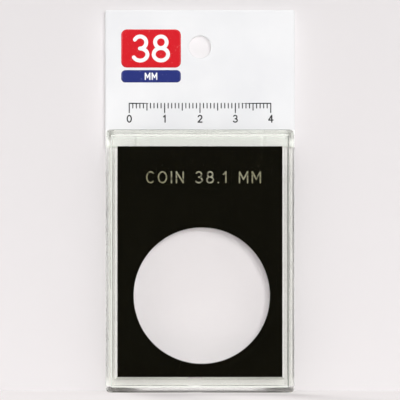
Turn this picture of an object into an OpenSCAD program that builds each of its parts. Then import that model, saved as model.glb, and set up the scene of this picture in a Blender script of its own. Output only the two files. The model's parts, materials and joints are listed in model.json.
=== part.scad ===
// Snap-together coin holder with a hang tab.
// Two clear covers close over a black insert that has a round hole for one coin.
// The holder stands on its bottom edge: X is its width, Z its height, and the front faces -Y.

/* [Holder] */
// Outside width of the closed holder
holder_w = 53; // [50:0.5:70]
// Outside height of the closed holder
holder_h = 74; // [68:0.5:100]
// Radius of the four outside corners, seen from the front
corner_r = 1.4; // [0.5:0.1:3]
// Radius that softens the outside edges of both faces
edge_r = 1.1; // [0.2:0.1:1.3]
// Thickness of each clear plate
plate_t = 1.9; // [1.2:0.1:3]

/* [Coin and insert] */
// Diameter of the coin
coin_d = 38.1; // [19:0.1:40]
// Difference between the hole's diameter and the coin's
coin_play = 0.3; // [0.1:0.1:0.8]
// Sideways place of the coin hole from the middle of the holder
coin_x = 0.5; // [-1:0.1:1]
// Web of the insert left under the coin hole
hole_web = 3.7; // [2:0.05:8]
// Thickness of the insert
insert_t = 3; // [2.4:0.1:5]
// Air between each face of the insert and its cover
face_gap = 0.1; // [0.05:0.05:0.3]
// Air between the insert and the tongue at each side
insert_play = 0.15; // [0.1:0.05:0.6]
// Air left over the insert
head_gap = 0.4; // [0.1:0.05:0.6]
// Air left under the insert where it rests on the tongue
rest_gap = 0.05; // [0.02:0.01:0.1]

/* [Snap rim] */
// Thickness of the front cover's skirt
skirt_t = 1.4; // [0.8:0.1:2]
// Depth that the skirt reaches down over the tongue
lap_depth = 1.4; // [1.2:0.1:2.2]
// Air between the skirt and the tongue
lap_gap = 0.15; // [0.05:0.05:0.3]
// Radius of the skirt's inside corners
lap_r = 0.5; // [0.4:0.1:1]
// Air at the parting line between the two covers
seam_gap = 0.1; // [0.05:0.05:0.3]
// Thickness of the tongue along the two long sides
tongue_side_t = 1.6; // [1.2:0.05:2.5]
// Thickness of the tongue along the top and the bottom
tongue_end_t = 2.75; // [1.2:0.05:4]
// Bevel that leads the insert into the tongue
lead_in = 0.6; // [0.1:0.1:0.8]
// Bevel on the tongue's outer edge that leads the skirt on, and inside the lid's corner over it
lap_bevel = 0.45; // [0.1:0.05:0.6]
// Radius of the snap bead on each long side
bead_r = 0.3; // [0.2:0.05:0.4]
// Height of the snap bead over the tongue
bead_rise = 0.1; // [0.02:0.01:0.2]
// Length of the snap bead
bead_len = 16; // [4:1:30]
// Depth of the groove behind the bead, in the skirt
groove_depth = 0.1; // [0.05:0.05:0.3]

/* [Prying slot] */
// Width of the slot in the bottom rim
slot_w = 3.9; // [2:0.1:10]
// Height of the slot's mouth in the skirt
slot_mouth = 0.8; // [0.4:0.1:1]
// Sideways place of the slot from the middle
slot_x = -1.5; // [-8:0.1:8]

/* [Hang tab] */
// Reach of the tab past each side of the holder
tab_reach = 0.25; // [0:0.05:1]
// Height of the tab above the holder
tab_h = 33.8; // [20:0.2:60]
// Thickness of the tab's sheet
tab_t = 0.5; // [0.3:0.1:1]
// Radius of the tab's corners
tab_r = 0.5; // [0.2:0.1:4]
// Full-width overlap of the tab on the back of the holder
tab_lap = 5; // [3:0.1:8]
// Width of the tab's bonded tail
tail_w = 40; // [20:0.5:44]
// Height of the tail under the overlap
tail_h = 8; // [5:0.5:20]
// Radius of the tail's lower corners
tail_r = 3; // [1:0.5:4]
// Diameter of the hang hole
hang_d = 6.35; // [4:0.05:10]
// Drop of the hang hole's centre under the tab's top edge
hang_drop = 10.4; // [8:0.2:14]
// Thickness of the adhesive pad
glue_t = 0.1; // [0.05:0.05:0.3]
// Margin of the adhesive pad inside the tail's outline
glue_margin = 1.5; // [0.5:0.5:2]

/* [Hidden] */
$fn = 64;
// overshoot of a cut past the face that it opens
past = 1;

cavity_t = insert_t + 2 * face_gap;
holder_t = cavity_t + 2 * plate_t;
y_front = -holder_t / 2;
y_back = holder_t / 2;
y_front_in = y_front + plate_t;
y_back_in = y_back - plate_t;
y_part = y_front_in + lap_depth;
y_skirt_end = y_part - seam_gap;
y_tip = y_front_in + face_gap;
z_mid = holder_h / 2;

skirt_in_w = holder_w - 2 * skirt_t;
skirt_in_h = holder_h - 2 * skirt_t;
tongue_w = skirt_in_w - 2 * lap_gap;
tongue_h = skirt_in_h - 2 * lap_gap;
tongue_r = lap_r - lap_gap;
pocket_w = tongue_w - 2 * tongue_side_t;
pocket_h = tongue_h - 2 * tongue_end_t;
z_pocket = (holder_h - pocket_h) / 2;
// the lead-in bevel's cut, carried on past the tongue's tip
lead_cut = lead_in + past;

insert_w = pocket_w - 2 * insert_play;
insert_h = pocket_h - rest_gap - head_gap;
z_insert = z_pocket + rest_gap;
hole_r = (coin_d + coin_play) / 2;
z_hole = z_insert + hole_web + hole_r;

bead_x = tongue_w / 2 + bead_rise - bead_r;
bead_y = (y_front_in + lap_bevel + y_skirt_end) / 2;
groove_r = skirt_in_w / 2 + groove_depth - bead_x;
groove_len = bead_len + 2 * (groove_r - bead_r);

tab_w = holder_w + 2 * tab_reach;
z_shoulder = holder_h - tab_lap;
z_tail = z_shoulder - tail_h;
z_tab_top = holder_h + tab_h;
y_glue = y_back + glue_t;

// Extrudes a front view, drawn in X and Z, from y0 back to y1
module front_view(y0, y1) {
    translate([0, y1, 0])
        rotate([90, 0, 0])
            linear_extrude(height = y1 - y0)
                children();
}

// Extrudes a side view, drawn in Y and Z, over the width w about the middle
module side_view(w) {
    translate([-w / 2, 0, 0])
        rotate([90, 0, 90])
            linear_extrude(height = w)
                children();
}

// Rectangle about the origin with round corners
module round_rect(w, h, r) {
    square([w - 2 * r, h], center = true);
    square([w, h - 2 * r], center = true);
    for (sx = [-1, 1], sy = [-1, 1])
        translate([sx * (w / 2 - r), sy * (h / 2 - r)])
            circle(r = r);
}

// Trapezium from width w0 at y0 to width w1 at y1, about the middle
module trapezium(w0, y0, w1, y1) {
    polygon([[-w0 / 2, y0], [w0 / 2, y0], [w1 / 2, y1], [-w1 / 2, y1]]);
}

// Four-sided taper about the holder's middle, from size [w, h] at y0 to a size wider by grow at y1
module taper(w, h, y0, grow, y1) {
    intersection() {
        linear_extrude(height = holder_h)
            trapezium(w, y0, w + grow, y1);
        translate([0, 0, z_mid])
            rotate([0, 90, 0])
                translate([0, 0, -holder_w / 2])
                    linear_extrude(height = holder_w)
                        trapezium(h, y0, h + grow, y1);
    }
}

// The closed holder's outside: its front, side and top views crossed
module outside() {
    intersection() {
        front_view(y_front, y_back)
            translate([0, z_mid])
                round_rect(holder_w, holder_h, corner_r);
        side_view(holder_w)
            translate([0, z_mid])
                round_rect(holder_t, holder_h, edge_r);
        linear_extrude(height = holder_h)
            round_rect(holder_w, holder_t, edge_r);
    }
}

// The part of the outside between two depths
module outside_between(y0, y1) {
    intersection() {
        outside();
        front_view(y0, y1)
            translate([0, z_mid])
                square([holder_w + 2 * past, holder_h + 2 * past], center = true);
    }
}

// Round bar along Z on a long side, with ball ends; side is -1 or 1
module bead_bar(side, r, len) {
    translate([side * bead_x, bead_y, z_mid]) {
        cylinder(r = r, h = len - 2 * r, center = true);
        for (end = [-1, 1])
            translate([0, 0, end * (len / 2 - r)])
                sphere(r = r);
    }
}

// Block about the holder's middle from y0 back to y1, beveled round its front
module beveled_block(w, h, r, y0, y1) {
    intersection() {
        front_view(y0, y1)
            translate([0, z_mid])
                round_rect(w, h, r);
        union() {
            taper(w - 2 * lap_bevel, h - 2 * lap_bevel, y0, 2 * lap_bevel, y0 + lap_bevel);
            front_view(y0 + lap_bevel, y1)
                translate([0, z_mid])
                    square([w, h], center = true);
        }
    }
}

module back_cover() {
    color("lightcyan", 0.45)
        difference() {
            union() {
                outside_between(y_part, y_back + past);
                beveled_block(tongue_w, tongue_h, tongue_r, y_tip, y_back_in + plate_t / 2);
                for (side = [-1, 1])
                    bead_bar(side, bead_r, bead_len);
            }
            front_view(y_front, y_back_in)
                translate([0, z_mid])
                    square([pocket_w, pocket_h], center = true);
            taper(pocket_w + 2 * lead_cut, pocket_h + 2 * lead_cut, y_tip + lead_in - lead_cut,
                -2 * lead_cut, y_tip + lead_in);
            front_view(y_front, y_part)
                translate([slot_x, (skirt_t + z_pocket) / 2])
                    square([slot_w, z_pocket - skirt_t + past], center = true);
        }
}

module coin_insert() {
    color("black")
        front_view(-insert_t / 2, insert_t / 2)
            difference() {
                translate([0, z_insert + insert_h / 2])
                    square([insert_w, insert_h], center = true);
                translate([coin_x, z_hole])
                    circle(r = hole_r);
            }
}

module front_cover() {
    color("aliceblue", 0.35)
        difference() {
            outside_between(y_front - past, y_skirt_end);
            beveled_block(skirt_in_w, skirt_in_h, lap_r, y_front_in, y_part);
            for (side = [-1, 1])
                bead_bar(side, groove_r, groove_len);
            front_view(y_skirt_end - slot_mouth, y_part)
                translate([slot_x, skirt_t / 2])
                    square([slot_w, skirt_t + past], center = true);
        }
}

module hang_tab() {
    color("white")
        front_view(y_glue, y_glue + tab_t)
            difference() {
                union() {
                    translate([0, (z_shoulder + z_tab_top) / 2])
                        round_rect(tab_w, z_tab_top - z_shoulder, tab_r);
                    translate([0, z_tail + (tail_h + tab_lap) / 2])
                        round_rect(tail_w, tail_h + tab_lap, tail_r);
                }
                translate([0, z_tab_top - hang_drop])
                    circle(d = hang_d);
            }
}

module tab_adhesive() {
    color("khaki", 0.6)
        front_view(y_back, y_glue)
            translate([0, (z_tail + holder_h) / 2])
                square([tail_w - 2 * glue_margin, holder_h - z_tail - 2 * glue_margin], center = true);
}

back_cover();
coin_insert();
front_cover();
hang_tab();
tab_adhesive();
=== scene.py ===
# %% [markdown]
# # A snap-together coin holder
# Two clear covers close over a black insert with a round hole for one coin, and a white tab hangs
# the holder on a display peg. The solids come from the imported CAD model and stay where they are.
# This notebook gives each of them its finish, and adds what is too fine for the solids: the cut and
# gently dented sheet of the tab, the foil line on the insert and the printing on the tab.

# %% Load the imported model
import json
import math

import bpy
import numpy as np
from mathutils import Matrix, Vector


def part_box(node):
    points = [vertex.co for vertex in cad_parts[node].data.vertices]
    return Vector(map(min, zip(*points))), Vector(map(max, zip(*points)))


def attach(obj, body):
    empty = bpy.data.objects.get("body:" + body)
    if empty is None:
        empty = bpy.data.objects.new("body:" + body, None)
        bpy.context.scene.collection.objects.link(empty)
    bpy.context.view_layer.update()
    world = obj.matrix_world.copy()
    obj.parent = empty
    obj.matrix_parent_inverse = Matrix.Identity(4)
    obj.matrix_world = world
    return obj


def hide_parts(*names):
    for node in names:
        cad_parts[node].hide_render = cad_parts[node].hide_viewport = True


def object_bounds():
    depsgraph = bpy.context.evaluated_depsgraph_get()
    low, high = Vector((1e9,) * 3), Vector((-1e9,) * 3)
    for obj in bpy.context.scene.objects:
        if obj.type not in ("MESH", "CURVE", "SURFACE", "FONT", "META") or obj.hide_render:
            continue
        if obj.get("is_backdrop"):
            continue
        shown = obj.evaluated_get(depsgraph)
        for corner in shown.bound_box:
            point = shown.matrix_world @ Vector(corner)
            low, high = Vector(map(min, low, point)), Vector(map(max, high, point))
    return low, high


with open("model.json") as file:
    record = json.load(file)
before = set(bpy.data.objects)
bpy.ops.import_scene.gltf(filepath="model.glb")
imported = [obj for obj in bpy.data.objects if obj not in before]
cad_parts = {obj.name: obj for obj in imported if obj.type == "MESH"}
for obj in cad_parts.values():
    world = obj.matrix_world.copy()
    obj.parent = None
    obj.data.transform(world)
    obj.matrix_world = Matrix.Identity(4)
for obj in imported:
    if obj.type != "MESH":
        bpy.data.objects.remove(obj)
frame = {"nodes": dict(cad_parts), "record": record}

MM = 0.001
cad_low, cad_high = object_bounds()
print("nodes:", sorted(frame["nodes"]))
print("CAD box in mm:", [round((high - low) / MM, 2) for low, high in zip(cad_low, cad_high)])

# %% [markdown]
# ## Meshes from arrays
# Every new piece is a surface worked out as whole numpy arrays: a grid of points, and the quads
# between neighbouring points. A direction of the grid that closes on itself, like the way round a pen
# line, joins its last row to its first. One helper writes the quads, one closes a tube at both ends,
# and one makes the object, lets it ride on a body of the model and names the finish it belongs to.

# %% Helpers for grids and pieces
def grid_quads(rows, columns, rows_close=False, columns_close=False):
    """Corner numbers of the quads in a rows by columns grid, with either direction closed."""
    row = np.arange(rows if rows_close else rows - 1)
    column = np.arange(columns if columns_close else columns - 1)
    row, column = np.meshgrid(row, column, indexing="ij")
    next_row = (row + 1) % rows
    next_column = (column + 1) % columns
    corners = [
        row * columns + column,
        row * columns + next_column,
        next_row * columns + next_column,
        next_row * columns + column,
    ]
    return np.stack(corners, axis=-1).reshape(-1, 4)


def closed_tube(x, y, z):
    """Points, quads and two end faces of a tube whose rows follow each other along it."""
    rows, columns = x.shape
    points = np.stack([x, y, z], axis=-1).reshape(-1, 3)
    first_end = np.arange(columns)[::-1]
    last_end = np.arange((rows - 1) * columns, rows * columns)
    return points, grid_quads(rows, columns, columns_close=True), [first_end, last_end]


def make_piece(name, parts, body, material):
    """One object at the origin, riding on a body: its parts are (points in metres, quads, ends)."""
    points = np.concatenate([part_points for part_points, _, _ in parts])
    starts = np.cumsum([0] + [len(part_points) for part_points, _, _ in parts])
    faces = []
    for start, (_, quads, ends) in zip(starts, parts):
        faces += (quads + start).tolist()
        faces += [(end + start).tolist() for end in ends]
    mesh = bpy.data.meshes.new(name)
    mesh.from_pydata(points.tolist(), [], faces)
    mesh.update()
    mesh.shade_smooth()
    mesh.materials.append(material)
    piece = bpy.data.objects.new(name, mesh)
    bpy.context.scene.collection.objects.link(piece)
    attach(piece, body)
    print(f"{name}: {len(mesh.vertices)} points, {len(mesh.polygons)} faces")
    return piece


# %% [markdown]
# ## Wear that several finishes share
# Plastic that is handled picks up hairline scratches and faint clouding, and foil and ink lose
# small flecks. Each of these is one node group with its own inputs, so that every finish can use it
# at its own scale. A group only puts out a mask or a value: the shader stays in the material.

# %% Helpers for node trees
def put(tree, node, inputs):
    """Gives a node's inputs, by name or number, an output to follow or a plain value."""
    for name, value in inputs.items():
        if isinstance(value, bpy.types.NodeSocket):
            tree.links.new(value, node.inputs[name])
        else:
            node.inputs[name].default_value = value


def add_node(tree, kind, inputs=None, **settings):
    """A new node of the tree, with its properties set by name and its inputs put in."""
    node = tree.nodes.new(kind)
    for name, value in settings.items():
        setattr(node, name, value)
    put(tree, node, inputs or {})
    return node


def maths(tree, operation, *values):
    """The result of a Math node on its values, each an output or a plain number."""
    return add_node(tree, "ShaderNodeMath", dict(enumerate(values)), operation=operation).outputs[0]


def ramp(tree, value, start, stop, low, high, shape="SMOOTHSTEP"):
    """A value carried over from start and stop to low and high, and held outside them."""
    inputs = {"Value": value, "From Min": start, "From Max": stop, "To Min": low, "To Max": high}
    return add_node(tree, "ShaderNodeMapRange", inputs, interpolation_type=shape).outputs["Result"]


def blend(tree, share, first, second):
    """A colour between two: the first where the share is 0, the second where it is 1."""
    inputs = {"Factor": share, "A": first, "B": second}
    return add_node(tree, "ShaderNodeMix", inputs, data_type="RGBA").outputs["Result"]


def mix_shaders(tree, share, first, second):
    """A mix of two shaders: the first where the share is 0, the second where it is 1."""
    return add_node(tree, "ShaderNodeMixShader", {0: share, 1: first, 2: second}).outputs["Shader"]


# %% Helpers for node groups
def new_group(name, numbers, result):
    """An empty shader node group that reads a Place and some numbers, and puts out one number."""
    group = bpy.data.node_groups.new(name, "ShaderNodeTree")
    group.interface.new_socket("Place", in_out="INPUT", socket_type="NodeSocketVector")
    for number in numbers:
        group.interface.new_socket(number, in_out="INPUT", socket_type="NodeSocketFloat")
    group.interface.new_socket(result, in_out="OUTPUT", socket_type="NodeSocketFloat")
    return group, add_node(group, "NodeGroupInput").outputs


def end_group(group, result):
    """Puts a result out of the group."""
    add_node(group, "NodeGroupOutput", {0: result})
    print("group:", group.name)
    return group


def use_group(tree, group, place, **numbers):
    """The result of a group in a material, at a place and with its numbers set by name."""
    inputs = {"Place": place, **numbers}
    return add_node(tree, "ShaderNodeGroup", inputs, node_tree=group).outputs[0]


# %% Hairline scratches
SCRATCH_TURNS = (0.35, 1.25, 2.45)
SCRATCH_STRETCH = 0.012
NOISE_MIDDLE = 0.5


def hairline_group():
    """Thin lines where a noise, drawn out almost a hundredfold three ways, crosses its middle."""
    group, given = new_group("hairline_scratches", ["Fineness", "Cover"], "Mask")
    lines = 0.0
    for turn in SCRATCH_TURNS:
        drawn_out = {
            "Vector": given["Place"],
            "Rotation": (0.0, turn, 0.0),
            "Scale": (1.0, 1.0, SCRATCH_STRETCH),
        }
        turned = add_node(group, "ShaderNodeMapping", drawn_out).outputs["Vector"]
        texture = {"Vector": turned, "Scale": given["Fineness"], "Detail": 1.0}
        noise = add_node(group, "ShaderNodeTexNoise", texture).outputs["Fac"]
        off_middle = maths(group, "ABSOLUTE", maths(group, "SUBTRACT", noise, NOISE_MIDDLE))
        line = ramp(group, off_middle, 0.0, given["Cover"], 1.0, 0.0, "LINEAR")
        lines = maths(group, "MAXIMUM", lines, line)
    return end_group(group, lines)


HAIRLINES = hairline_group()

# %% Soft clouding
CLOUDS_FROM = 0.3
CLOUDS_TO = 0.7


def clouding_group():
    """A slow, soft noise carried from the middle of its range to the range between Low and High."""
    group, given = new_group("soft_clouding", ["Scale", "Low", "High"], "Value")
    texture = {"Vector": given["Place"], "Scale": given["Scale"], "Detail": 3.0}
    noise = add_node(group, "ShaderNodeTexNoise", texture).outputs["Fac"]
    levels = (CLOUDS_FROM, CLOUDS_TO, given["Low"], given["High"])
    return end_group(group, ramp(group, noise, *levels, "LINEAR"))


CLOUDING = clouding_group()

# %% Lost flecks
FLECK_RIM = 0.06


def fleck_group():
    """Small scattered flecks: one where a fine noise rises over the Level, with a soft rim."""
    group, given = new_group("lost_flecks", ["Scale", "Level"], "Mask")
    texture = {"Vector": given["Place"], "Scale": given["Scale"], "Detail": 4.0, "Roughness": 0.65}
    noise = add_node(group, "ShaderNodeTexNoise", texture).outputs["Fac"]
    full = maths(group, "ADD", given["Level"], FLECK_RIM)
    return end_group(group, ramp(group, noise, given["Level"], full, 0.0, 1.0, "LINEAR"))


FLECKS = fleck_group()

# %% [markdown]
# ## Clear polystyrene
# The covers are polished clear mouldings. Glass in Cycles is a Principled shader with full
# transmission: the index of polystyrene, 1.59, gives the bright and dark lines along every step of
# the rim, and a faint absorption tints the long way through a wall. Light on its way to what lies
# behind a cover would be lost in caustics, so shadow rays and rays from matt surfaces meet a
# Transparent shader instead, a little darker where the wall is seen on edge. The rim's faces in
# front and behind carry painted shade in their colour, in place of what the rim reflects and
# refracts: a faint greenish darkening beside and below the insert, a deeper one on the right side,
# and grey along its lips and at its corners.

# %% Start a material
def new_material(name):
    """A material with its node tree, its Principled shader and the Object coordinates to read."""
    material = bpy.data.materials.new(name)
    material.use_nodes = True
    tree = material.node_tree
    place = add_node(tree, "ShaderNodeTexCoord").outputs["Object"]
    return material, tree, tree.nodes["Principled BSDF"], place


def bump(tree, height, depth):
    """A normal raised by a height, whose 1 stands for the depth in metres."""
    inputs = {"Strength": 1.0, "Distance": depth, "Height": height}
    return add_node(tree, "ShaderNodeBump", inputs).outputs["Normal"]


def finish_node(node, material):
    """Gives every material slot of a CAD node's object the finish."""
    for slot in frame["nodes"][node].material_slots:
        slot.material = material
    print(f"finish of {node}: {material.name}")


# %% Painted shade on the rim
# painted shade on the rim: these tints darken the covers' faces in place of what the rim reflects and
# refracts
CLEAR_TINT = (0.995, 0.996, 0.99, 1.0)
RIM_SHADE_TINT = (0.975, 0.992, 0.957, 1.0)
RIGHT_SIDE_SHADE_TINT = (0.905, 0.915, 0.885, 1.0)
EDGE_SHADE_TINT = (0.50, 0.50, 0.485, 1.0)
RIM_SHADE_BOTTOM = 1.9 * MM
TOP_LIP = 73.22 * MM
TOP_CORNER = (25.7 * MM, 0.0, 72.7 * MM)
# a face looks forwards or backwards if its normal's share in that direction is more than this
FORWARD_SHARE = 0.5
# each of these is a ramp along a distance: where it starts and stops, and its value there
OFF_INSERT = (0.0, 0.3 * MM, 0.0, 1.0)
RIGHT_SHADE_SIDE = (23.0 * MM, 24.0 * MM, 0.0, 1.0)
LIFT_AT_CORNERS = (14.0 * MM, 24.0 * MM, 0.0, 0.7 * MM)
BOTTOM_LIP_SHADE = (0.5 * MM, 1.2 * MM, 1.0, 0.0)
TOP_LIP_SHADE = (0.25 * MM, 0.6 * MM, 0.34, 0.0)
CORNER_SHADE = (0.6 * MM, 2.4 * MM, 0.5, 0.0)
insert_low, insert_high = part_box("coin_insert")


# painted shade along the rim's lips and at its top corners
def scuffs(tree, off_middle, high):
    """A mask of painted shade: a band along the bottom edge that rises at its ends, a line along the
    top and round spots at the two top corners."""
    lifted = maths(tree, "SUBTRACT", high, ramp(tree, off_middle, *LIFT_AT_CORNERS))
    bottom_lip = ramp(tree, lifted, *BOTTOM_LIP_SHADE)
    off_top_lip = maths(tree, "ABSOLUTE", maths(tree, "SUBTRACT", high, TOP_LIP))
    lips = maths(tree, "MAXIMUM", bottom_lip, ramp(tree, off_top_lip, *TOP_LIP_SHADE))
    flat = add_node(tree, "ShaderNodeCombineXYZ", {"X": off_middle, "Z": high}).outputs["Vector"]
    ends = {0: flat, 1: TOP_CORNER}
    distance = add_node(tree, "ShaderNodeVectorMath", ends, operation="DISTANCE").outputs["Value"]
    return maths(tree, "MAXIMUM", lips, ramp(tree, distance, *CORNER_SHADE))


# painted shade on the covers' faces: faint beside and below the insert, deeper on the right side
def handled_tint(tree, place):
    """The tint of a cover: clear, but on faces that look forwards or backwards painted shade, faint
    and greenish beside and below the insert, deeper on the right side, and grey along the lips and
    at the top corners."""
    across, _, high = add_node(tree, "ShaderNodeSeparateXYZ", {"Vector": place}).outputs
    off_middle = maths(tree, "ABSOLUTE", across)
    beside = maths(tree, "SUBTRACT", off_middle, insert_high[0])
    below = maths(tree, "SUBTRACT", insert_low[2], high)
    outside = ramp(tree, maths(tree, "MAXIMUM", beside, below), *OFF_INSERT)
    middle = (insert_high[2] + RIM_SHADE_BOTTOM) / 2
    between = maths(tree, "COMPARE", high, middle, middle - RIM_SHADE_BOTTOM)
    rim_shade = maths(tree, "MULTIPLY", outside, between)
    right_shade = maths(tree, "MULTIPLY", ramp(tree, across, *RIGHT_SHADE_SIDE), between)
    tint = blend(tree, rim_shade, CLEAR_TINT, RIM_SHADE_TINT)
    tint = blend(tree, right_shade, tint, RIGHT_SIDE_SHADE_TINT)
    tint = blend(tree, scuffs(tree, off_middle, high), tint, EDGE_SHADE_TINT)
    normal = add_node(tree, "ShaderNodeTexCoord").outputs["Normal"]
    _, forwards, _ = add_node(tree, "ShaderNodeSeparateXYZ", {"Vector": normal}).outputs
    on_face = maths(tree, "GREATER_THAN", maths(tree, "ABSOLUTE", forwards), FORWARD_SHARE)
    return blend(tree, on_face, CLEAR_TINT, tint)


# %% Clear covers
POLYSTYRENE_INDEX = 1.59
SHADOW_FACE_ON = (1.0, 1.0, 0.997, 1.0)
SHADOW_ON_EDGE = (0.90, 0.905, 0.895, 1.0)
INNER_TINT = (0.89, 0.966, 0.83, 1.0)
INNER_DENSITY = 22.0
EDGE_BLEND = 0.35
ON_EDGE = (0.45, 1.0, 0.0, 1.0)
COVER_SCUFF = 0.06
COVER_WAVE = 0.003 * MM


def clear_polystyrene():
    """Polished clear plastic with faint waviness, hairline scratches and a see-through shadow."""
    material, tree, shader, place = new_material("clear_polystyrene")
    clouds = use_group(tree, CLOUDING, place, Scale=160.0, Low=0.005, High=0.03)
    scratches = use_group(tree, HAIRLINES, place, Fineness=420.0, Cover=0.006)
    waves = use_group(tree, CLOUDING, place, Scale=70.0, Low=0.0, High=1.0)
    put(tree, shader, {
        # the base colour carries the painted shade of the rim
        "Base Color": handled_tint(tree, place),
        "IOR": POLYSTYRENE_INDEX,
        "Transmission Weight": 1.0,
        "Roughness": maths(tree, "MULTIPLY_ADD", scratches, COVER_SCUFF, clouds),
        "Normal": bump(tree, waves, COVER_WAVE),
    })
    facing = add_node(tree, "ShaderNodeLayerWeight", {"Blend": EDGE_BLEND}).outputs["Facing"]
    on_edge = ramp(tree, facing, *ON_EDGE, "LINEAR")
    shade = blend(tree, on_edge, SHADOW_FACE_ON, SHADOW_ON_EDGE)
    passing = add_node(tree, "ShaderNodeBsdfTransparent", {"Color": shade}).outputs["BSDF"]
    rays = add_node(tree, "ShaderNodeLightPath").outputs
    surface = shader.outputs["BSDF"]
    for ray in ("Is Diffuse Ray", "Is Shadow Ray"):
        surface = mix_shaders(tree, rays[ray], surface, passing)
    absorbing = {"Color": INNER_TINT, "Density": INNER_DENSITY}
    inside = add_node(tree, "ShaderNodeVolumeAbsorption", absorbing).outputs["Volume"]
    put(tree, tree.nodes["Material Output"], {"Surface": surface, "Volume": inside})
    return material


CLEAR = clear_polystyrene()
for cover in ("front_cover", "back_cover"):
    finish_node(cover, CLEAR)

# %% [markdown]
# ## The black insert
# The insert is cut from a satin black plate. Its colour is nearly black with a warm cast, so what
# shows is the sheen: a fine grain in the surface, soft clouding of the gloss and a few hairlines.

# %% Black plate
WARM_BLACK = (0.0030, 0.0026, 0.0010, 1.0)
CLOUDED_BLACK = (0.0042, 0.0037, 0.0016, 1.0)
PLATE_SPECULAR = 0.2
PLATE_SCUFF = 0.05
PLATE_GRAIN = 0.0004 * MM


def black_plate():
    """Warm near-black plastic, with a fine grain, clouded gloss and hairlines."""
    material, tree, shader, place = new_material("satin_black_plate")
    tone = use_group(tree, CLOUDING, place, Scale=90.0, Low=0.0, High=1.0)
    gloss = use_group(tree, CLOUDING, place, Scale=240.0, Low=0.09, High=0.14)
    scratches = use_group(tree, HAIRLINES, place, Fineness=380.0, Cover=0.003)
    grain = use_group(tree, CLOUDING, place, Scale=5200.0, Low=0.0, High=1.0)
    put(tree, shader, {
        "Base Color": blend(tree, tone, WARM_BLACK, CLOUDED_BLACK),
        "Roughness": maths(tree, "MULTIPLY_ADD", scratches, PLATE_SCUFF, gloss),
        "Specular IOR Level": PLATE_SPECULAR,
        "Normal": bump(tree, grain, PLATE_GRAIN),
    })
    return material


finish_node("coin_insert", black_plate())

# %% [markdown]
# ## The tab's sheet
# The tab is a white sheet, cut to shape and punched for a peg. A flat solid looks too perfect: a
# real sheet bows forward a little above its bond and keeps faint dents from handling. So the sheet
# is made again as one surface. Lines run from the punched hole out to the cut edge, and a closed ring
# of points goes along each line on the front, round the cut edge, back behind and round the hole's
# edge. The front's depth is a formula of the place, which the printing on it uses as well.

# %% Sizes of the tab
tab_low, tab_high = (np.array(corner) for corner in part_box("hang_tab"))
holder_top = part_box("back_cover")[1][2]
hang_hole = next(mount for mount in frame["record"]["mounts"] if mount["name"] == "hang_hole")
hole_middle = np.array([hang_hole["pos_m"][0], hang_hole["pos_m"][2]])
hole_radius = hang_hole["dims"]["r_mm"] * MM
sheet_front_y = tab_low[1]
sheet_thick = tab_high[1] - tab_low[1]
SHEET_LIP = 0.12 * MM
TAB_LAP = 5 * MM
TAIL_HALF = 20 * MM
TAB_RADIUS = 0.5 * MM
NOTCH_RADIUS = 0.3 * MM
TAIL_RADIUS = 3 * MM
OUTLINE_STEP = 0.8 * MM
print("sheet in mm:", np.round((tab_high - tab_low) / MM, 2))

# %% Bow and dents of the sheet
BOW = 0.25 * MM
# each dent is its place across, its height, its reach and its depth, in mm
DENTS = np.array([
    [12.0, 101.0, 5.0, 0.10],
    [18.5, 95.5, 4.0, -0.08],
    [9.0, 93.5, 3.5, 0.06],
    [20.0, 86.5, 6.0, 0.07],
    [-8.0, 85.0, 7.0, -0.06],
    [-20.0, 104.0, 5.0, 0.05],
]) * MM
# the dents are at their full depth from this share of the tab's height on
DENTS_FULL = 0.25


def sheet_front(x, z):
    """Depth of the sheet's front: a bow that grows as the square of the height over the holder,
    plus dents that fall off as a bell curve from their middles."""
    above = np.clip((z - holder_top) / (tab_high[2] - holder_top), 0.0, None)
    apart = np.hypot(x[..., None] - DENTS[:, 0], z[..., None] - DENTS[:, 1])
    dents = (DENTS[:, 3] * np.exp(-((apart / DENTS[:, 2]) ** 2))).sum(axis=-1)
    return sheet_front_y - BOW * above**2 + dents * np.clip(above / DENTS_FULL, 0.0, 1.0)


print("dents:", len(DENTS))

# %% Outline of the tab
ARC_POINTS = 7


def rounded_outline(corners, radii):
    """A closed outline from its corners: straight runs in short steps, and an arc at each corner.

    An arc's ends lie radius * tan(half the turn) along both runs, and its points turn about the
    centre that lies off the first run by the radius."""
    corners = np.asarray(corners, dtype=float)
    runs = np.roll(corners, -1, axis=0) - corners
    away = runs / np.linalg.norm(runs, axis=1)[:, None]
    into = np.roll(away, 1, axis=0)
    cross = into[:, 0] * away[:, 1] - into[:, 1] * away[:, 0]
    turn = np.arctan2(cross, (into * away).sum(axis=1))
    cut = radii * np.tan(np.abs(turn) / 2)
    outline = []
    for index, corner in enumerate(corners):
        side = np.sign(turn[index]) * np.array([-into[index, 1], into[index, 0]])
        centre = corner - into[index] * cut[index] + side * radii[index]
        spoke = -side * radii[index]
        across = np.array([-spoke[1], spoke[0]])
        angles = np.linspace(0.0, turn[index], ARC_POINTS)[:, None]
        outline.append(centre + np.cos(angles) * spoke + np.sin(angles) * across)
        last = outline[-1][-1]
        following = (index + 1) % len(corners)
        goal = corners[following] - away[index] * cut[following]
        count = max(2, int(np.linalg.norm(goal - last) / OUTLINE_STEP))
        steps = np.linspace(0.0, 1.0, count, endpoint=False)[1:, None]
        outline.append(last + steps * (goal - last))
    return np.concatenate(outline)


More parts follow.
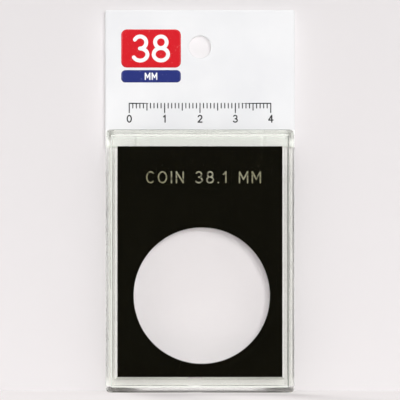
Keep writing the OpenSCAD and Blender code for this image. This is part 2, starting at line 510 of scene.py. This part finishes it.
shoulder_z = holder_top - TAB_LAP
tab_corners = [
    (tab_high[0], tab_high[2]),
    (tab_low[0], tab_high[2]),
    (tab_low[0], shoulder_z),
    (-TAIL_HALF, shoulder_z),
    (-TAIL_HALF, tab_low[2]),
    (TAIL_HALF, tab_low[2]),
    (TAIL_HALF, shoulder_z),
    (tab_high[0], shoulder_z),
]
tab_radii = np.array([
    TAB_RADIUS,
    TAB_RADIUS,
    TAB_RADIUS,
    NOTCH_RADIUS,
    TAIL_RADIUS,
    TAIL_RADIUS,
    NOTCH_RADIUS,
    TAB_RADIUS,
])
tab_outline = rounded_outline(tab_corners, tab_radii)
print("outline points:", len(tab_outline))

# %% The sheet itself
LINE_POINTS = 26
EDGE_POINTS = 8


def cut_sheet(outline):
    """The sheet from its round hole out to an outline: a ring of points per line from hole to edge.

    Along a line of length L the ring runs from the lip to L - lip on the front, over a half ellipse
    with half axes lip and half the thickness at the cut edge, back behind, and over a half ellipse at
    the hole."""
    spokes = outline - hole_middle
    reach = np.linalg.norm(spokes, axis=1)
    spokes = spokes / reach[:, None]
    length = reach - hole_radius
    share = np.linspace(0.0, 1.0, LINE_POINTS)[:, None]
    half_turn = np.linspace(0.0, math.pi, EDGE_POINTS)[1:-1, None]
    everywhere = np.ones_like(length)
    run = SHEET_LIP + share * (length - 2 * SHEET_LIP)
    out = np.concatenate([
        run,
        length - SHEET_LIP + SHEET_LIP * np.sin(half_turn),
        run[::-1],
        SHEET_LIP - SHEET_LIP * np.sin(half_turn) * everywhere,
    ])
    depth = np.concatenate([
        0 * run,
        sheet_thick / 2 * (1 - np.cos(half_turn)) * everywhere,
        0 * run + sheet_thick,
        sheet_thick / 2 * (1 + np.cos(half_turn)) * everywhere,
    ])
    x = hole_middle[0] + spokes[:, 0] * (hole_radius + out)
    z = hole_middle[1] + spokes[:, 1] * (hole_radius + out)
    points = np.stack([x, sheet_front(x, z) + depth, z], axis=-1).reshape(-1, 3)
    return points, grid_quads(*out.shape, rows_close=True, columns_close=True), []


# %% White sheet
SHEET_DULL = (0.735, 0.742, 0.757, 1.0)
SHEET_CLEAN = (0.795, 0.80, 0.807, 1.0)
# painted light: the sheet's front behind the clear cover is painted whiter to make up for what the
# cover's faces reflect away
SHEET_PAINTED_WHITER = (0.98, 0.97, 0.965, 1.0)
SHEET_SCRATCH = -0.002 * MM


def white_sheet():
    """Semi-matt white sheet, faintly clouded, with fine handling marks.

    Its front is painted whiter where it lies behind the clear cover: painted light that makes up for
    what the cover's faces reflect away."""
    material, tree, shader, place = new_material("white_tab_sheet")
    tone = use_group(tree, CLOUDING, place, Scale=55.0, Low=0.0, High=1.0)
    gloss = use_group(tree, CLOUDING, place, Scale=300.0, Low=0.38, High=0.5)
    scratches = use_group(tree, HAIRLINES, place, Fineness=300.0, Cover=0.006)
    _, deep, high = add_node(tree, "ShaderNodeSeparateXYZ", {"Vector": place}).outputs
    # where the front lies behind the cover, it gets the painted light
    low_down = maths(tree, "LESS_THAN", high, holder_top)
    in_front = maths(tree, "LESS_THAN", deep, sheet_front_y + sheet_thick / 2)
    painted_whiter = maths(tree, "MULTIPLY", low_down, in_front)
    handled = blend(tree, tone, SHEET_DULL, SHEET_CLEAN)
    put(tree, shader, {
        "Base Color": blend(tree, painted_whiter, handled, SHEET_PAINTED_WHITER),
        "Roughness": gloss,
        "Normal": bump(tree, scratches, SHEET_SCRATCH),
    })
    return material


sheet = cut_sheet(tab_outline)
tab_sheet = make_piece("tab_sheet", [sheet], "back", white_sheet())
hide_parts("hang_tab")

# %% [markdown]
# ## The adhesive pad
# A thin pad of pressure-sensitive film bonds the tab's tail to the back cover. Through the clear
# cover it shows as a faint milky patch with trapped air. The solid's faces lie exactly on its
# neighbours, where a renderer can't tell which comes first, so the pad is made again with a hair's
# breadth on both sides.

# %% A thin pad
PAD_RINGS = 14
PAD_CORE = 0.08


def thin_pad(low, high, radius, rise, sink, surface):
    """A thin pad on a surface: rings that grow from its core to the rounded outline, then its edge.

    Ring s of the top lies at s times the way from the middle to the outline. The last ring drops
    the edge under the surface, and the core and the bottom are one face each."""
    corners = [(high[0], high[1]), (low[0], high[1]), (low[0], low[1]), (high[0], low[1])]
    outline = rounded_outline(corners, np.full(len(corners), radius))
    middle = (np.array(low) + np.array(high)) / 2
    share = np.append(np.linspace(PAD_CORE, 1.0, PAD_RINGS), 1.0)[:, None]
    up = np.append(np.full(PAD_RINGS, rise), -sink)[:, None]
    x = middle[0] + share * (outline[:, 0] - middle[0])
    z = middle[1] + share * (outline[:, 1] - middle[1])
    return closed_tube(x, surface(x, z) - up, z)


# %% Adhesive film
FILM_WETTED = (0.985, 0.975, 0.965, 1.0)
FILM_AIRED = (1.0, 0.99, 0.98, 1.0)
FILM_RADIUS = 1.0 * MM
HAIR = 0.015 * MM


def adhesive_film():
    """Milky adhesive: mottled between a wetted and a slightly aired tone."""
    material, tree, shader, place = new_material("adhesive_film")
    aired = use_group(tree, FLECKS, place, Scale=700.0, Level=0.56)
    put(tree, shader, {
        "Base Color": blend(tree, aired, FILM_WETTED, FILM_AIRED),
        "Roughness": use_group(tree, CLOUDING, place, Scale=400.0, Low=0.25, High=0.5),
    })
    return material


pad_low, pad_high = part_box("tab_adhesive")


def pad_back(x, z):
    """Depth of the pad's back, a hair in front of the tab's sheet."""
    return np.full_like(x, pad_high[1] - HAIR)


pad_thick = pad_high[1] - pad_low[1] - 2 * HAIR
film_low = (pad_low[0], pad_low[2])
film_high = (pad_high[0], pad_high[2])
film = thin_pad(film_low, film_high, FILM_RADIUS, pad_thick, 0.0, pad_back)
bond_film = make_piece("bond_film", [film], "back", adhesive_film())
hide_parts("tab_adhesive")

# %% [markdown]
# ## Pen lines
# The foil line and the printing are drawn with a round pen: each letter or tick is a few straight or
# round strokes. A stroke could be a curve object with a bevel, but a ridge worked out from its path
# gives a true low dome with round ends, thin enough to lie on its sheet like foil or ink.

# %% Strokes
BOW_POINTS = 25


def bar(x0, y0, x1, y1):
    """A straight stroke between two points."""
    return np.array([[x0, y0], [x1, y1]])


def bow(x, y, wide, high, start, stop):
    """A stroke along an ellipse about x, y with half axes wide and high, between two angles."""
    angle = np.radians(np.linspace(start, stop, BOW_POINTS))
    return np.stack([x + wide * np.cos(angle), y + high * np.sin(angle)], axis=-1)


# the width that each character takes, and its strokes in a box one unit high, angles in degrees
CHARACTERS = {
    "0": (0.60, [bow(0.30, 0.5, 0.30, 0.5, 0, 360)]),
    "1": (0.30, [bar(0.22, 0, 0.22, 1), bar(0.22, 1, 0.0, 0.78)]),
    "2": (0.56, [
        bow(0.28, 0.72, 0.27, 0.28, 165, -35),
        bar(0.50, 0.56, 0, 0),
        bar(0, 0, 0.56, 0),
    ]),
    "3": (0.56, [bow(0.26, 0.75, 0.25, 0.25, 150, -90), bow(0.26, 0.25, 0.30, 0.25, 90, -150)]),
    "4": (0.60, [bar(0.45, 0, 0.45, 1), bar(0.45, 1, 0, 0.3), bar(0, 0.3, 0.62, 0.3)]),
    "8": (0.60, [bow(0.30, 0.76, 0.24, 0.24, 0, 360), bow(0.30, 0.26, 0.30, 0.26, 0, 360)]),
    ".": (0.06, [bar(0.03, 0, 0.03, 0.02)]),
    "C": (0.64, [bow(0.36, 0.5, 0.36, 0.5, 48, 312)]),
    "O": (0.74, [bow(0.37, 0.5, 0.37, 0.5, 0, 360)]),
    "I": (0.04, [bar(0.02, 0, 0.02, 1)]),
    "N": (0.62, [bar(0, 0, 0, 1), bar(0, 1, 0.62, 0), bar(0.62, 0, 0.62, 1)]),
    "M": (0.74, [
        bar(0, 0, 0, 1),
        bar(0, 1, 0.37, 0.3),
        bar(0.37, 0.3, 0.74, 1),
        bar(0.74, 1, 0.74, 0),
    ]),
    " ": (0.30, []),
}


def line_of_characters(words, middle, base, height, spacing):
    """The strokes of a line of characters, centred on a place across and standing on a base."""
    widths = np.array([CHARACTERS[letter][0] for letter in words]) + spacing
    starts = np.cumsum(widths) - widths - (widths.sum() - spacing) / 2
    corner = np.array([middle, base])
    return [
        corner + height * (stroke + np.array([start, 0.0]))
        for letter, start in zip(words, starts)
        for stroke in CHARACTERS[letter][1]
    ]


print("characters:", "".join(CHARACTERS))

# %% Ridges along strokes
# the pen line's section, over the arch and back: places across it in half widths, then shares of
# the rise and of the sink
ARCH_ACROSS = np.array([-1.0, -0.86, -0.5, 0.0, 0.5, 0.86, 1.0, 1.0, -1.0])
ARCH_UP = np.array([0.0, 0.62, 0.92, 1.0, 0.92, 0.62, 0.0, 0.0, 0.0])
ARCH_DOWN = np.array([0.0, 0.0, 0.0, 0.0, 0.0, 0.0, 0.0, 1.0, 1.0])
END_RINGS = 4
END_ANGLES = (12, 78)


def ridge(path, pen, rise, sink, surface):
    """A pen line laid on a surface as a low closed dome along a path.

    The ring at each path point runs over an arch from edge to edge, highest in the middle, and back
    under the surface by the sink. Past both ends the rings narrow along a quarter circle, so the
    ends are round."""
    quarter = np.radians(np.linspace(*END_ANGLES, END_RINGS))[:, None]
    run = np.gradient(path, axis=0)
    run = run / np.linalg.norm(run, axis=1)[:, None]
    line = np.concatenate([
        path[0] - run[0] * pen / 2 * np.cos(quarter),
        path,
        path[-1] + run[-1] * pen / 2 * np.cos(quarter[::-1]),
    ])
    first_run = np.repeat(run[:1], END_RINGS, axis=0)
    last_run = np.repeat(run[-1:], END_RINGS, axis=0)
    run = np.concatenate([first_run, run, last_run])
    full = np.ones((len(path), 1))
    half = np.concatenate([np.sin(quarter), full, np.sin(quarter[::-1])]) * pen / 2
    x = line[:, :1] - run[:, 1:] * half * ARCH_ACROSS
    z = line[:, 1:] + run[:, :1] * half * ARCH_ACROSS
    return closed_tube(x, surface(x, z) - rise * ARCH_UP + sink * ARCH_DOWN, z)


# %% [markdown]
# ## The foil line on the insert
# The line above the hole is stamped with metal foil. It gives the coin's size, the plain fact that
# a collector looks for. Hot-stamped foil is thin, so it is a shallow dome, and it is worn: flecks of
# the black plate show through where the foil didn't take.

# %% Foil
FOIL_PALE = (0.50, 0.485, 0.37, 1.0)
FOIL_THIN = (0.27, 0.255, 0.13, 1.0)
FOIL_LOST = (0.07, 0.065, 0.045, 1.0)
FOIL_METALLIC = 0.35
FOIL_PIT = -0.01 * MM


def worn_foil():
    """Pale gold foil, thinner here and there, whose flecks fall to the dark plate below."""
    material, tree, shader, place = new_material("worn_pale_foil")
    thin = use_group(tree, CLOUDING, place, Scale=110.0, Low=0.0, High=1.0)
    flecks = use_group(tree, FLECKS, place, Scale=2300.0, Level=0.53)
    put(tree, shader, {
        "Base Color": blend(tree, flecks, blend(tree, thin, FOIL_PALE, FOIL_THIN), FOIL_LOST),
        "Metallic": FOIL_METALLIC,
        "Roughness": use_group(tree, CLOUDING, place, Scale=900.0, Low=0.35, High=0.6),
        "Normal": bump(tree, flecks, FOIL_PIT),
    })
    return material


# %% The foil line
FOIL_WORDS = "COIN 38.1 MM"
FOIL_MIDDLE = 1.0 * MM
FOIL_BASE = 59.05 * MM
FOIL_HEIGHT = 3.05 * MM
FOIL_SPACING = 0.44
FOIL_PEN = 0.4 * MM
FOIL_RISE = 0.03 * MM
FOIL_SINK = 0.02 * MM


def insert_front(x, z):
    """Depth of the insert's flat front."""
    return np.full_like(x, insert_low[1])


foil_paths = line_of_characters(FOIL_WORDS, FOIL_MIDDLE, FOIL_BASE, FOIL_HEIGHT, FOIL_SPACING)
foil_parts = [ridge(path, FOIL_PEN, FOIL_RISE, FOIL_SINK, insert_front) for path in foil_paths]
make_piece("foil_line", foil_parts, "insert", worn_foil())

# %% [markdown]
# ## The printing on the tab
# The tab carries plain printing: a red size patch with the coin's size in millimetres over a blue
# bar, and a black centimetre rule. The patch is a flat pad with a rounded outline that follows the
# sheet's dents, and the figures and the rule are pen lines on top.

# %% Ink
INK_RISE = 0.02 * MM
INK_SINK = 0.02 * MM


def print_ink(name, colour, worn_colour):
    """Printing ink: a colour with pin-prick losses and a slightly uneven gloss."""
    material, tree, shader, place = new_material(name)
    losses = use_group(tree, FLECKS, place, Scale=1500.0, Level=0.62)
    put(tree, shader, {
        "Base Color": blend(tree, losses, (*colour, 1.0), (*worn_colour, 1.0)),
        "Roughness": use_group(tree, CLOUDING, place, Scale=500.0, Low=0.3, High=0.45),
    })
    print("ink:", name)
    return material


RED_INK = print_ink("red_ink", (0.60, 0.012, 0.020), (0.66, 0.08, 0.08))
BLUE_INK = print_ink("blue_ink", (0.020, 0.030, 0.17), (0.09, 0.10, 0.25))
BLACK_INK = print_ink("black_ink", (0.010, 0.010, 0.011), (0.06, 0.06, 0.06))
WHITE_INK = print_ink("white_ink", (0.85, 0.86, 0.86), (0.78, 0.72, 0.72))

# %% The size patch
PATCH_LEFT = -22.3 * MM
PATCH_RIGHT = -5.4 * MM
PATCH_TOP = 102.4 * MM
PATCH_BOTTOM = 91.6 * MM
PATCH_RADIUS = 1.6 * MM
BAR_TOP = 90.9 * MM
BAR_BOTTOM = 87.4 * MM
BAR_RADIUS = 1.2 * MM


def printed_patch(bottom, top, radius):
    """A patch of ink on the sheet between two heights, as wide as the size patch."""
    low = (PATCH_LEFT, bottom)
    high = (PATCH_RIGHT, top)
    return thin_pad(low, high, radius, INK_RISE, INK_SINK, sheet_front)


red_patch = printed_patch(PATCH_BOTTOM, PATCH_TOP, PATCH_RADIUS)
make_piece("size_patch", [red_patch], "back", RED_INK)
blue_bar = printed_patch(BAR_BOTTOM, BAR_TOP, BAR_RADIUS)
make_piece("unit_bar", [blue_bar], "back", BLUE_INK)

# %% Figures on the patch
FIGURE_BASE = 93.6 * MM
FIGURE_HEIGHT = 6.8 * MM
FIGURE_PEN = 1.25 * MM
FIGURE_SPACING = 0.26
UNIT_BASE = 88.3 * MM
UNIT_HEIGHT = 1.7 * MM
UNIT_PEN = 0.42 * MM
UNIT_SPACING = 0.4
OVERPRINT_RISE = 2 * INK_RISE
patch_middle = (PATCH_LEFT + PATCH_RIGHT) / 2
overprints = [
    ("38", FIGURE_BASE, FIGURE_HEIGHT, FIGURE_SPACING, FIGURE_PEN),
    ("MM", UNIT_BASE, UNIT_HEIGHT, UNIT_SPACING, UNIT_PEN),
]
figure_parts = [
    ridge(path, pen, OVERPRINT_RISE, 0.0, sheet_front)
    for words, base, height, spacing, pen in overprints
    for path in line_of_characters(words, patch_middle, base, height, spacing)
]
make_piece("patch_figures", figure_parts, "back", WHITE_INK)

# %% The centimetre rule
RULE_TOP = 81.5 * MM
RULE_LEFT = -20.0 * MM
RULE_CENTIMETRES = 4
WHOLE_EVERY = 10
HALF_EVERY = 5
RULE_PEN = 0.3 * MM
TICK = 1.3 * MM
HALF_TICK = 1.9 * MM
WHOLE_TICK = 2.6 * MM
RULE_FIGURE_BASE = 76.2 * MM
RULE_FIGURE_HEIGHT = 1.9 * MM
RULE_FIGURE_PEN = 0.36 * MM
tick_numbers = np.arange(WHOLE_EVERY * RULE_CENTIMETRES + 1)
tick_places = RULE_LEFT + tick_numbers * MM
tick_lengths = np.where(tick_numbers % HALF_EVERY == 0, HALF_TICK, TICK)
tick_lengths = np.where(tick_numbers % WHOLE_EVERY == 0, WHOLE_TICK, tick_lengths)
rule_paths = [bar(tick_places[0], RULE_TOP, tick_places[-1], RULE_TOP)]
for place, length in zip(tick_places, tick_lengths):
    rule_paths.append(bar(place, RULE_TOP, place, RULE_TOP - length))
rule_parts = [ridge(path, RULE_PEN, INK_RISE, INK_SINK, sheet_front) for path in rule_paths]
for figure, place in enumerate(tick_places[::WHOLE_EVERY]):
    for path in line_of_characters(str(figure), place, RULE_FIGURE_BASE, RULE_FIGURE_HEIGHT, 0.0):
        rule_parts.append(ridge(path, RULE_FIGURE_PEN, INK_RISE, INK_SINK, sheet_front))
make_piece("centimetre_rule", rule_parts, "back", BLACK_INK)

# %% [markdown]
# ## Floor and backdrop
# The holder stands on a pale floor, 4 mm in front of a pale backdrop, so that the insert's edge
# drops a soft shadow on it through the coin hole. The backdrop has only a front: a Geometry node
# makes it Transparent from behind, so the back of the holder is lit and seen as well as its front. It
# is painted paler for rays that come through the plates, step by step for each clear face that they
# pass, by what these faces reflect away. The floor lies a hair below the holder, so that rays can
# still leave the clear bottom edge. Mirror images leave it out, and far away it fades into the tone
# of the room.

# %% Tones of the stage
WALL_TONE = (0.678, 0.657, 0.661, 1.0)
WALL_BEHIND_PLATES = (0.95, 0.898, 0.945, 1.0)
FLOOR_TONE = (0.85, 0.81, 0.81, 1.0)
PALE_SHOWN = (0.82, 0.78, 0.78, 1.0)
# two ramps: how far away the floor fades, and how many clear faces make the backdrop palest
FLOOR_FADE = (0.1, 0.24, 0.0, 1.0)
FACES_PASSED = (1.0, 4.0, 0.0, 1.0)
AT_LEAST_ONE = 0.5


def ray_masks(tree):
    """The Light Path's outputs, and masks of mirrored rays and of rays straight from the camera."""
    rays = add_node(tree, "ShaderNodeLightPath").outputs
    mirrored = maths(tree, "GREATER_THAN", rays["Glossy Depth"], AT_LEAST_ONE)
    from_camera = maths(tree, "MAXIMUM", rays["Is Camera Ray"], rays["Is Transmission Ray"])
    straight = maths(tree, "MULTIPLY", from_camera, maths(tree, "SUBTRACT", 1.0, mirrored))
    return rays, mirrored, straight


def matt_paint(tree, shader, tone):
    """Sets a Principled shader to matt paint without any gloss."""
    put(tree, shader, {"Base Color": tone, "Roughness": 1.0, "Specular IOR Level": 0.0})
    return shader.outputs["BSDF"]


def show_through(tree, share, surface):
    """Makes a surface Transparent where the share is 1."""
    nothing = add_node(tree, "ShaderNodeBsdfTransparent").outputs["BSDF"]
    shown = mix_shaders(tree, share, surface, nothing)
    put(tree, tree.nodes["Material Output"], {"Surface": shown})


def floor_paint():
    """Pale matt paint that mirrored rays pass through, fading into the room's tone far away."""
    material, tree, shader, place = new_material("pale_floor")
    _, mirrored, straight = ray_masks(tree)
    away = add_node(tree, "ShaderNodeVectorMath", {0: place}, operation="LENGTH").outputs["Value"]
    faded = maths(tree, "MULTIPLY", ramp(tree, away, *FLOOR_FADE), straight)
    shown = add_node(tree, "ShaderNodeEmission", {"Color": PALE_SHOWN}).outputs["Emission"]
    surface = mix_shaders(tree, faded, matt_paint(tree, shader, FLOOR_TONE), shown)
    show_through(tree, mirrored, surface)
    return material


def backdrop_paint():
    """Pale matt paint, Transparent from behind, and paler for rays that passed more clear faces."""
    material, tree, shader, _ = new_material("pale_backdrop")
    faces = add_node(tree, "ShaderNodeLightPath").outputs["Transmission Depth"]
    behind_plates = ramp(tree, faces, *FACES_PASSED, "LINEAR")
    tone = blend(tree, behind_plates, WALL_TONE, WALL_BEHIND_PLATES)
    behind = add_node(tree, "ShaderNodeNewGeometry").outputs["Backfacing"]
    show_through(tree, behind, matt_paint(tree, shader, tone))
    return material


# %% Stage
FLOOR_REACH = 2.0
FLOOR_FRONT = 0.25
FLOOR_DROP = 0.02 * MM
WALL_HALF = 0.3
WALL_TOP = 0.4
WALL_GAP = 4 * MM


def stage_plane(name, corners, material):
    """A single quad, marked as not part of the object."""
    mesh = bpy.data.meshes.new(name)
    mesh.from_pydata(corners, [], [(0, 1, 2, 3)])
    mesh.materials.append(material)
    plane = bpy.data.objects.new(name, mesh)
    bpy.context.scene.collection.objects.link(plane)
    plane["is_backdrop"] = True
    return plane


floor_corners = [
    (-FLOOR_REACH, -FLOOR_FRONT, -FLOOR_DROP),
    (FLOOR_REACH, -FLOOR_FRONT, -FLOOR_DROP),
    (FLOOR_REACH, FLOOR_REACH, -FLOOR_DROP),
    (-FLOOR_REACH, FLOOR_REACH, -FLOOR_DROP),
]
stage_plane("floor", floor_corners, floor_paint())
wall_y = tab_high[1] + WALL_GAP
wall_corners = [
    (-WALL_HALF, wall_y, 0.0),
    (WALL_HALF, wall_y, 0.0),
    (WALL_HALF, wall_y, WALL_TOP),
    (-WALL_HALF, wall_y, WALL_TOP),
]
backdrop = stage_plane("backdrop", wall_corners, backdrop_paint())
backdrop.visible_shadow = False
backdrop.visible_diffuse = False
backdrop.visible_glossy = False
print("backdrop stands at y =", round(wall_y / MM, 2), "mm")

# %% [markdown]
# ## Light
# A small lamp near the camera and a larger one at its upper right give the crescent of shade in the
# coin hole, one lamp lights the floor from above and one the back. Mirror images leave all of them
# out and see the world instead: bright panels on both sides, which draw the pale lines along the rim,
# and darkness behind the camera. A black plate under a clear cover mirrors whatever the camera stands
# in front of, and only a dark room keeps it black. A narrow dark gap straight to each side does the
# same from there.

# %% World
ROOM_TONE = (1.0, 0.995, 0.99, 1.0)
ROOM_LIGHT = 0.2
ROOM_MIRRORED = 0.75
RIM_GLOW = (0.97, 0.985, 0.93, 1.0)
# each of these levels is a ramp along a heading: where it starts and stops, and its level there
BEHIND_CAMERA = (-0.96, -0.80, 0.02, 1.0)
UNDERFOOT = (-0.3, 0.0, 0.05, 1.0)
RIGHT_DIMMER = (0.1, 0.8, 1.0, 0.5)
PANEL_SIDES = (0.4, 0.85, 0.0, 4.4)
PANEL_ENDS = (0.15, 0.45, 0.0, 1.0)
PANEL_GAP = (0.03, 0.08, 0.05, 1.0)
RIM_SIDES = (0.1, 0.3, 1.0, 0.0)
RIM_ENDS = (0.2, 0.9, 0.92, 1.08)


def background(tree, colour, strength):
    """A Background shader with a plain colour and a strength."""
    inputs = {"Color": colour, "Strength": strength}
    return add_node(tree, "ShaderNodeBackground", inputs).outputs["Background"]


def studio_world():
    """A pale room that each kind of ray sees in its own way.

    Mirrored rays see it with bright panels on both sides, dark behind the camera and dim below. Rays
    that leave a clear rim after an inner reflection see an even glow all round. Rays that come from
    the camera, straight or through clear plates, see one plain pale tone."""
    world = bpy.data.worlds.new("studio")
    world.use_nodes = True
    tree = world.node_tree
    tree.nodes.remove(tree.nodes["Background"])
    heading = add_node(tree, "ShaderNodeTexCoord").outputs["Generated"]
    aside, behind, up = add_node(tree, "ShaderNodeSeparateXYZ", {"Vector": heading}).outputs
    off_level = maths(tree, "ABSOLUTE", up)
    off_side = maths(tree, "ABSOLUTE", behind)
    rays, mirrored, straight = ray_masks(tree)
    lit = maths(tree, "MULTIPLY", ramp(tree, behind, *BEHIND_CAMERA), ramp(tree, up, *UNDERFOOT))
    to_left = ramp(tree, aside, *RIGHT_DIMMER)
    on_panel = maths(tree, "SUBTRACT", to_left, ramp(tree, off_level, *PANEL_ENDS))
    to_side = ramp(tree, maths(tree, "ABSOLUTE", aside), *PANEL_SIDES)
    panels = maths(tree, "MAXIMUM", maths(tree, "MULTIPLY", to_side, on_panel), 0.0)
    panels = maths(tree, "ADD", panels, ROOM_MIRRORED)
    mirror_level = maths(tree, "MULTIPLY", panels, ramp(tree, off_side, *PANEL_GAP))
    levels = {"Factor": rays["Is Glossy Ray"], "A": ROOM_LIGHT, "B": mirror_level}
    level = add_node(tree, "ShaderNodeMix", levels).outputs["Result"]
    room = background(tree, ROOM_TONE, maths(tree, "MULTIPLY", lit, level))
    all_round = maths(tree, "MAXIMUM", lit, ramp(tree, off_side, *RIM_SIDES))
    glow_level = maths(tree, "MULTIPLY", all_round, ramp(tree, off_level, *RIM_ENDS))
    glow = background(tree, RIM_GLOW, maths(tree, "MULTIPLY", glow_level, to_left))
    inner = maths(tree, "MULTIPLY", mirrored, rays["Is Transmission Ray"])
    unseen = mix_shaders(tree, inner, room, glow)
    surface = mix_shaders(tree, straight, unseen, background(tree, PALE_SHOWN, 1.0))
    put(tree, tree.nodes["World Output"], {"Surface": surface})
    return world


bpy.context.scene.world = studio_world()
print("world:", bpy.context.scene.world.name)


# %% Lamps
def area_lamp(name, place, goal, size, power):
    """A round area lamp at a place, turned to a goal and left out of pictures and mirror images."""
    lamp = bpy.data.lights.new(name, "AREA")
    lamp.shape = "DISK"
    lamp.size = size
    lamp.energy = power
    lamp_object = bpy.data.objects.new(name, lamp)
    heading = np.array(goal) - np.array(place)
    tilt = math.acos(-heading[2] / np.linalg.norm(heading))
    swing = math.atan2(heading[1], heading[0]) - math.pi / 2
    lamp_object.location = place
    lamp_object.rotation_euler = (tilt, 0.0, swing)
    lamp_object.visible_camera = False
    lamp_object.visible_glossy = False
    lamp_object.visible_transmission = False
    bpy.context.scene.collection.objects.link(lamp_object)
    print(f"lamp {name}: {power} W")


holder_middle = (0.0, 0.0, cad_high[2] / 2)
floor_front = (0.0, -0.05, 0.0)
area_lamp("front", place=(0.0125, -1.25, 0.0727), goal=holder_middle, size=0.06, power=4.3)
area_lamp("key", place=(0.107, -0.888, 0.1516), goal=holder_middle, size=0.2, power=3.7)
area_lamp("top", place=(0.0, -0.3, 1.2), goal=floor_front, size=0.8, power=8.0)
area_lamp("back", place=(-0.45, 1.1, 0.55), goal=holder_middle, size=0.6, power=11.5)

# %% [markdown]
# ## Camera
# The picture is taken straight on, from far away with a long lens, so that all edges stay parallel.
# The lens follows from the field that one picture has to cover at the holder's front face.

# %% Camera
CAMERA_FAR = 1.2
SENSOR = 36.0
FIELD = 112.44 * MM
CAMERA_HEIGHT = 54.17 * MM
camera_data = bpy.data.cameras.new("camera")
camera_data.sensor_width = SENSOR
camera_data.lens = SENSOR * (CAMERA_FAR + cad_low[1]) / FIELD
camera = bpy.data.objects.new("camera", camera_data)
camera.location = (0.0, -CAMERA_FAR, CAMERA_HEIGHT)
camera.rotation_euler = (math.pi / 2, 0.0, 0.0)
bpy.context.scene.collection.objects.link(camera)
bpy.context.scene.camera = camera
bpy.context.scene.view_settings.view_transform = "Standard"
print("lens in mm:", round(camera_data.lens, 1))

# %% Sizes to compare, and the end
visual_low, visual_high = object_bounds()
visual_size = [round((high - low) / MM, 2) for low, high in zip(visual_low, visual_high)]
print("visual box in mm:", visual_size)
